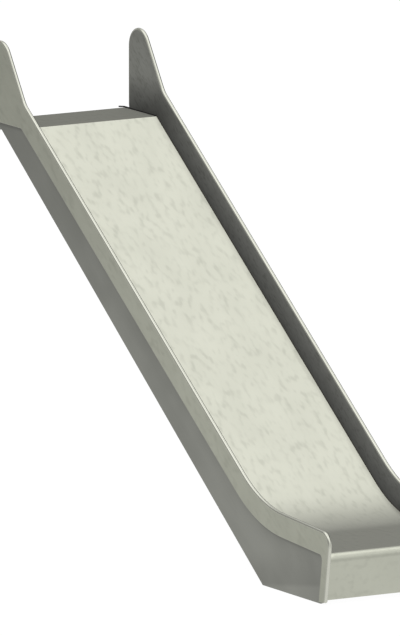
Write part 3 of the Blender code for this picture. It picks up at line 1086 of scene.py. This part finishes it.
@dataclass(frozen=True)
class Bed:
    """Platform, chute, run-out and lip: one metre of ground sheet, folded and rolled.

    Between two ribs the chute's sheet sags by `slack`, but not in the last field. The seam's
    leg is `seam`, and its face is hollowed by the share `hollow` of that.
    """

    columns: int = 24
    slack: float = 0.0006
    rib_margin: float = 0.350
    rib_pitch: float = 0.7158
    last_field: float = 0.17
    seam: float = 0.004
    hollow: float = 0.8

    def sagged_chute(self, path: Path, section: np.ndarray) -> Skin:
        """The straight chute, hanging slightly between its ribs.

        A point is lowered by slack * sin^2(pi (s - margin) / pitch) * cos(pi x / width).

        Args:
            path: top of the chute.
            section: section of the sheet.

        Returns:
            The skin.
        """
        skin = carried(path, section, start_mitre=-math.tan(math.radians(VIEW.slope / 2)))
        s = path.lengths
        wave = np.sin(math.pi * (s - self.rib_margin) / self.rib_pitch) ** 2
        inside = (s > self.rib_margin) & (s < s[-1] - self.last_field)
        crown = np.cos(math.pi * section[:, 0] / np.ptp(section[:, 0]))
        drop = self.slack * np.outer(wave * inside, crown)
        up = VIEW.place(0.0, path.normals[0]) - VIEW.origin
        return Skin(skin.rings - drop[..., None] * up, skin.along, skin.around)

    def seam_section(self, side: Side) -> np.ndarray:
        """Hollow fillet between bed and cheek: corner, foot on the bed, quarter arc, top.

        Args:
            side: which side it lies on.

        Returns:
            Closed loop of (x, up).
        """
        wall, leg = across_span("cheek_wall_right", side)[0], self.seam
        turns = np.linspace(0.0, math.pi / 2, 6)
        face = np.stack([wall - side.value * leg * (1 - self.hollow * np.sin(turns)),
                         leg * (1 - self.hollow * np.cos(turns))], -1)
        face[0], face[-1] = (wall - side.value * leg, 0.0), (wall, leg)
        return np.vstack([[(wall, 0.0)], face])

    def build(self) -> None:
        """Build and dress the four sheets, with their unground undersides, and the two seams.

        The roll starts at the first point whose normal has turned. The UV map's U runs on from
        the chute over the roll and the lip.
        """
        section = sheet_section(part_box("chute_bed")[1].x, VIEW.bed_sheet, self.columns)
        platform, whole, lip = VIEW.platform_path(), VIEW.bed_path(), VIEW.lip_path()
        split = int(np.argmax(whole.normals[:, 0] < whole.normals[0, 0] - 1e-6)) - 1
        chute = Path(whole.points[:split + 1], whole.normals[:split + 1])
        roll = Path(whole.points[split:], whole.normals[split:])
        deck = carried(platform, section, end_mitre=math.tan(math.radians(VIEW.slope / 2)))
        sheets = (
            ("platform_deck", platform, deck, 0.0, Finish.PLATFORM, Slot.PLATFORM, "platform_sheet"),
            ("chute_slide_sheet", chute, self.sagged_chute(chute, section), 0.0, Finish.BED,
             Slot.BED, "chute_bed"),
            ("runout_slide_sheet", roll, carried(roll, section), chute.lengths[-1], Finish.BED,
             Slot.BED, "runout_bed"),
            ("lip_and_apron", lip, carried(lip, section), whole.lengths[-1], Finish.LIP,
             Slot.BED, "front_lip"))
        for name, path, skin, start, finish, slot, node in sheets:
            skin = Skin(skin.rings, skin.along + start, skin.around)
            # Faces turned down take the darker underside finish: partly mill finish, partly painted
            # shade
            down = VIEW.origin - VIEW.place(0.0, path.normals[:-1])
            towards = np.vstack([np.repeat(down, skin.rings.shape[1], 0), np.zeros((2, 3))])
            hand_over(name, [skin], finish, slot, node, second=Finish.UNDERSIDE, towards=towards)
        for side in Side:
            # The seams' dark finish is partly weld colour and partly painted shade in the corner
            seam = carried(whole, self.seam_section(side))
            hand_over(f"bed_corner_seam_{side.word}", [seam], Finish.SEAM, Slot.BED)


@dataclass(frozen=True)
class Cheek:
    """One side of the slide: inner wall with skirt, outer band with return, and rim bar.

    A rim's rounded end starts at the share `rim_tip` of its section, and its first ring stands
    at the angle `rim_end_first` on the quarter circle.
    """

    side: Side
    bend: float = 0.005
    skirt_fold: float = 0.030
    rim_steps: int = 24
    rim_end_steps: int = 7
    rim_end_first: float = 0.15
    rim_tip: float = 0.02

    def wall(self) -> Skin:
        """Guard, cheek and skirt as one sheet, folded inward along the skirt's lower edge.

        Returns:
            The skin.
        """
        fold = Fold(self.bend, VIEW.sheet + self.skirt_fold)
        panel = Panel(VIEW.wall_edge(), VIEW.skirt_ends()[::-1], VIEW.sheet, fold)
        return panel.skin(across_span("cheek_wall_right", self.side)[1])

    def band(self) -> Skin:
        """Outer skin of guard and cheek, folded inward along its lower edge.

        Returns:
            The skin.
        """
        inner, outer = across_span("cheek_band_right", self.side)
        wall_outer = across_span("cheek_wall_right", self.side)[1]
        top = VIEW.rim_path().shifted(-GAP).points
        lower = VIEW.band_lower_path().points
        heel = lower[0] + (GAP, 0.0)
        corner = VIEW.front.raised(-GAP).crossing(level(VIEW.front_bottom))
        plain = np.vstack([[heel], top[1:-1], [corner], [lower[-1]]])
        folded = np.vstack([lower[:0:-1], [heel]])
        fold = Fold(self.bend, abs(outer - wall_outer) - GAP)
        return Panel(plain, folded, abs(outer - inner), fold).skin(outer)

    def rim(self) -> Skin:
        """Half-round bar along the rim path, flat side down, with rounded ends.

        Within one radius r of an end the section shrinks by (1 - (1 - s / r)^2)^(1/2), s being
        the distance from that end.

        Returns:
            The skin.
        """
        inner, outer = across_span("cheek_rim_right", self.side)
        middle, radius = (inner + outer) / 2, abs(outer - inner) / 2
        path = VIEW.rim_path()
        total = path.lengths[-1]
        ends = np.linspace(self.rim_end_first, math.pi / 2, self.rim_end_steps)
        near = radius * (1 - np.cos(ends))
        path = path.with_stations(np.concatenate([near, total - near]))
        from_end = np.minimum(path.lengths, total - path.lengths)
        shrink = np.sqrt(1 - (1 - np.clip(from_end / radius, self.rim_tip, 1.0)) ** 2)
        turns = np.linspace(0.0, math.pi, self.rim_steps + 1)
        section = shrink[:, None, None] * radius * np.stack([np.cos(turns), np.sin(turns)], -1)
        side_points = path.points[:, None] + section[..., 1:] * path.normals[:, None]
        around = np.append(radius * turns, 0.0)
        return Skin(VIEW.place(middle + section[..., 0], side_points), path.lengths, around)

    def build(self) -> None:
        """Build and dress the wall, the band and the rim."""
        word = self.side.word
        # The wall's inward faces take the inner wall's darker finish: painted shade
        hand_over(f"cheek_wall_and_skirt_{word}", [self.wall()], Finish.SKIRT, Slot.WALL,
                  f"cheek_wall_{word}", f"skirt_edge_{word}",
                  second=Finish.INNER_WALL, towards=np.array([-self.side.value, 0.0, 0.0]))
        hand_over(f"cheek_outer_band_{word}", [self.band()], Finish.BAND, Slot.BAND,
                  f"cheek_band_{word}", f"band_return_{word}")
        hand_over(f"cheek_rim_bar_{word}", [self.rim()], Finish.RIM, Slot.RIM,
                  f"cheek_rim_{word}")


@dataclass(frozen=True)
class Frame:
    """What carries the sheets: ribs of folded channel, edge bars, foot flanges and crossbar.

    `bead` is the stitch welds' radius. A rib's weld runs over the share `rib_stitch` of its
    depth; one of the rear flange's is twice `flange_stitch` long. The crossbar's wall is a share
    of its leg, and the radius of its heel a share of that.
    """

    rib_width: float = 0.060
    rib_depth: float = 0.040
    rib_wall: float = 0.003
    bead: float = 0.003
    rib_stitch: tuple[float, float] = (0.25, 0.95)
    flange_stitches: int = 5
    flange_stitch: float = 0.025
    flange_margin: float = 0.06
    bar_edge: float = 0.001
    crossbar_wall: float = 0.1
    crossbar_heel: float = 0.2

    def channel_loop(self, at: np.ndarray, angle: float) -> np.ndarray:
        """Section of a folded channel, open downward, under a sheet's top at a point.

        Args:
            at: point on the sheet's top, above the channel's middle.
            angle: the sheet's angle below the level.

        Returns:
            Closed loop of (u, w).
        """
        half, top, wall = self.rib_width / 2, -VIEW.bed_sheet - GAP, self.rib_wall
        bottom, inner = top - self.rib_depth, half - wall
        loop = np.vstack([
            bent_profile([(half, bottom), (half, top), (-half, top), (-half, bottom)],
                         [2 * wall, 2 * wall]),
            bent_profile([(-inner, bottom), (-inner, top - wall), (inner, top - wall),
                          (inner, bottom)], [wall, wall])])
        return at + loop[:, :1] * heading(angle) + loop[:, 1:] * square_up(angle)

    def rib_places(self) -> dict[str, tuple[np.ndarray, float]]:
        """Where each rib stands, half way along its node's box.

        Returns:
            Point on the sheet's top and angle, by the node's name.
        """
        lines = {"platform_rib": level(0.0), **{f"bed_rib_{i}": VIEW.chute_line for i in range(1, 6)},
                 "runout_rib": VIEW.runout_line}
        depth = VIEW.bed_sheet + GAP + self.rib_depth / 2
        places = {}
        for name, line in lines.items():
            rear, front, _, _ = VIEW.extent(name)
            sunk = line.raised(-depth).crossing(upright((rear + front) / 2))
            places[name] = (sunk + depth * square_up(line.angle), line.angle)
        return places

    def stitches(self) -> list[Skin]:
        """Weld beads in the corners of ribs and walls, and of the rear flange and the fold.

        Returns:
            Their skins.
        """
        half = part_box("bed_rib_1")[1].x - self.bead / 2
        starts, ends = [], []
        for at, angle in self.rib_places().values():
            for along in (-1, 1):
                foot = at + along * self.rib_width / 2 * heading(angle)
                for x in (-half, half):
                    for points, share in zip((starts, ends), self.rib_stitch):
                        up = -VIEW.bed_sheet - GAP - share * self.rib_depth
                        points.append(VIEW.place(x, foot + up * square_up(angle)))
        low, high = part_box("platform_rear_flange")
        edges = ((-VIEW.platform - self.bead / 3, VIEW.extent("platform_rear_flange")[2]),
                 (-VIEW.platform, VIEW.rear_fold))
        for middle in np.linspace(low.x + self.flange_margin, high.x - self.flange_margin,
                                  self.flange_stitches):
            for edge in np.array(edges):
                starts.append(VIEW.place(middle - self.flange_stitch, edge))
                ends.append(VIEW.place(middle + self.flange_stitch, edge))
        return spindles(np.array(starts), np.array(ends), self.bead)

    def crossbar(self) -> Skin:
        """Rolled angle behind the apron, with a round root and round toes.

        Returns:
            The skin.
        """
        low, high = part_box("foot_crossbar")
        rear, front, top, bottom = VIEW.extent("foot_crossbar")
        wall = self.crossbar_wall * (bottom - top)
        outer = bent_profile([(front, top), (front, bottom), (rear, bottom)],
                             [self.crossbar_heel * wall])
        inner = bent_profile([(rear, bottom - wall / 2), (rear, bottom - wall),
                              (front - wall, bottom - wall), (front - wall, top),
                              (front - wall / 2, top)], [wall / 2, wall, wall / 2])
        return crosswise(np.vstack([outer, inner]), low.x, high.x)

    def edge_bar(self, side: Side) -> Skin:
        """Edge bar of the platform, whose tail is bent down behind the platform.

        Args:
            side: which side it lies on.

        Returns:
            The skin.
        """
        tip, front, top, bottom = VIEW.extent("platform_edge_bar_right")
        rear, thickness = -VIEW.platform, abs(top) - GAP
        corners = [(front, top), (rear, top), (tip, bottom - thickness), (tip, bottom),
                   (rear, top + thickness), (front, top + thickness)]
        span = across_span("platform_edge_bar_right", side)
        return crosswise(closed_loop(corners, self.bar_edge), *span)

    def foot_flange(self, side: Side) -> Skin:
        """Flat bar that lies on the concrete inside the skirt's foot.

        Args:
            side: which side it lies on.

        Returns:
            The skin.
        """
        rear, front, top, bottom = VIEW.extent("foot_flange_right")
        corners = [(rear, top), (front, top), (front, bottom), (rear, bottom)]
        return crosswise(closed_loop(corners, self.bar_edge), *across_span("foot_flange_right", side))

    def build(self) -> None:
        """Build and dress the frame, and dress the rear flange, whose solid shape is right."""
        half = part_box("bed_rib_1")[1].x
        for name, (at, angle) in self.rib_places().items():
            channel = crosswise(self.channel_loop(at, angle), -half, half)
            hand_over(f"{name}_channel", [channel], Finish.FRAME, Slot.FRAME, name)
        hand_over("foot_crossbar_angle", [self.crossbar()], Finish.FRAME, Slot.FRAME,
                  "foot_crossbar")
        for side in Side:
            # The edge bars' near-black finish is painted shade
            hand_over(f"platform_edge_trim_{side.word}", [self.edge_bar(side)], Finish.TRIM,
                      Slot.FRAME, f"platform_edge_bar_{side.word}")
            hand_over(f"foot_flange_bar_{side.word}", [self.foot_flange(side)], Finish.FRAME,
                      Slot.FRAME, f"foot_flange_{side.word}")
        hand_over("frame_stitch_welds", self.stitches(), Finish.BEAD, Slot.FRAME)
        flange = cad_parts["platform_rear_flange"]
        flange.data.materials.clear()
        flange.data.materials.append(Finish.FRAME.material)


@dataclass(frozen=True)
class Studio:
    """White floor, soft light that depends on direction alone, and the photo's camera.

    The picture is a parallel view, 30 degrees to the side and 10 degrees above; a very long
    lens from far away gives nearly the same.

    `frame_height` is the picture's height at the aimed point, and `floor_half` half the floor's
    side. `light` holds factors on the light, each a direction with its curve, which is read at
    the share of the light's own direction towards it, from -1 to 1; `brightest` is the factor
    that its ramps show as white.
    """

    azimuth: float = -30.0
    elevation: float = 10.0
    distance: float = 120.0
    frame_height: float = 4.0513
    aim: tuple[float, float, float] = (0.00972, -1.83232, -0.99118)
    clip: tuple[float, float] = (1.0, 500.0)
    floor_half: float = 150.0
    brightest: float = 1.8
    light: tuple[tuple[tuple[float, float, float], Curve], ...] = (
        # Upward: a dim horizon below a bright ceiling
        ((0.0, 0.0, 1.0), (
            (-1.0, 0.76), (-0.42, 0.76), (-0.17, 0.655), (0.05, 0.61), (0.2, 0.63), (0.32, 0.67),
            (0.455, 0.75), (0.577, 0.86), (0.68, 0.95), (0.765, 1.05), (0.825, 1.20),
            (0.87, 1.395), (0.93, 1.355), (1.0, 1.15))),
        # The dark rear right of the studio
        ((0.5, 0.866, 0.0), (
            (-1.0, 1.0), (0.48, 1.0), (0.60, 0.96), (0.71, 0.90), (0.81, 0.82), (0.886, 0.72),
            (0.94, 0.47), (0.98, 0.255), (1.0, 0.12))),
        # A soft lamp high on the left, with a dark ring round it
        ((-0.632, 0.208, 0.747), (
            (-1.0, 1.0), (0.50, 1.0), (0.60, 0.60), (0.76, 0.55), (0.86, 0.80), (0.93, 1.02),
            (1.0, 1.12))),
        # A dark screen on the right, which shows on the far side of the rims
        ((0.80, 0.474, 0.367), ((-1.0, 1.0), (0.91, 1.0), (0.935, 0.45), (0.96, 0.2), (1.0, 0.1))),
        # The same lamp's front end, which shows where the rims run steeply
        ((-0.40, -0.56, 0.725), ((-1.0, 1.0), (0.86, 1.0), (0.92, 1.2), (0.96, 1.45), (1.0, 1.5))),
        # The same screen's front end
        ((0.824, -0.155, 0.545), (
            (-1.0, 1.0), (0.885, 1.0), (0.93, 0.55), (0.96, 0.35), (1.0, 0.3))))

    def add_camera(self) -> None:
        """Camera whose back, right and up axes follow from its two angles."""
        a, e = math.radians(self.azimuth), math.radians(self.elevation)
        back = Vector((math.sin(a) * math.cos(e), -math.cos(a) * math.cos(e), math.sin(e)))
        right = Vector((math.cos(a), math.sin(a), 0.0))
        data = bpy.data.cameras.new("photo_camera")
        data.lens = data.sensor_width * self.distance / self.frame_height
        data.clip_start, data.clip_end = self.clip
        camera = bpy.data.objects.new("photo_camera", data)
        turn = Matrix((right, back.cross(right), back)).transposed().to_4x4()
        camera.matrix_world = Matrix.Translation(Vector(self.aim) + self.distance * back) @ turn
        bpy.context.scene.collection.objects.link(camera)
        bpy.context.scene.camera = camera

    def add_floor(self) -> None:
        """Level white floor at the foot's lower edge; reflections see the soft light instead."""
        corners = np.array([(-1, -1), (1, -1), (1, 1), (-1, 1)]) * self.floor_half
        points = np.column_stack([corners, np.full(4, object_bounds()[0].z)])
        mesh = bpy.data.meshes.new("studio_floor")
        mesh.from_pydata(points.tolist(), [], [(0, 1, 2, 3)])
        floor = bpy.data.objects.new("studio_floor", mesh)
        bpy.context.scene.collection.objects.link(floor)
        material, tree = new_material("white_paper_floor")
        paper = add_node(tree, "BsdfPrincipled", {
            "Base Color": linear("4d4d4d"), "Roughness": 0.9,
            "Emission Color": linear("ffffff"), "Emission Strength": 0.95})
        add_node(tree, "OutputMaterial", {"Surface": paper})
        mesh.materials.append(material)
        floor.visible_glossy = False
        floor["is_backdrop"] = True

    def add_light(self) -> None:
        """Soft light by direction.

        Its strength is the product of the curves of `light`. The camera sees plain white.
        """
        world = bpy.data.worlds.new("soft_studio")
        world.use_nodes = True
        tree = world.node_tree
        tree.nodes.clear()
        direction = add_node(tree, "TexCoord", {}, "Generated")
        white = linear("ffffff")
        product = white
        for towards, curve in self.light:
            share = add_node(tree, "VectorMath", {0: direction, 1: towards}, "Value",
                             operation="DOT_PRODUCT")
            product = multiplied(tree, product, share, curve, self.brightest)
        seen = add_node(tree, "LightPath", {}, "Is Camera Ray")
        full = self.brightest ** len(self.light)
        strength = add_node(tree, "Mix", {"Factor": seen, 2: full, 3: 1.0}, data_type="FLOAT")
        colour = add_node(tree, "Mix", {"Factor": seen, 6: product, 7: white}, 2,
                          data_type="RGBA")
        light = add_node(tree, "Background", {"Color": colour, "Strength": strength})
        add_node(tree, "OutputWorld", {"Surface": light})
        bpy.context.scene.world = world
        bpy.context.scene.view_settings.view_transform = "Standard"

    def build(self) -> None:
        """Set up the floor, the light and the camera."""
        self.add_floor()
        self.add_light()
        self.add_camera()
        LOG.info("studio: floor, light and camera")


def main() -> None:
    """Build the slide piece by piece, then the studio."""
    logging.basicConfig(level=logging.INFO, format="%(message)s")
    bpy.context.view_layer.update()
    Bed().build()
    for side in Side:
        Cheek(side).build()
    Frame().build()
    Studio().build()


if __name__ == "__main__":
    main()
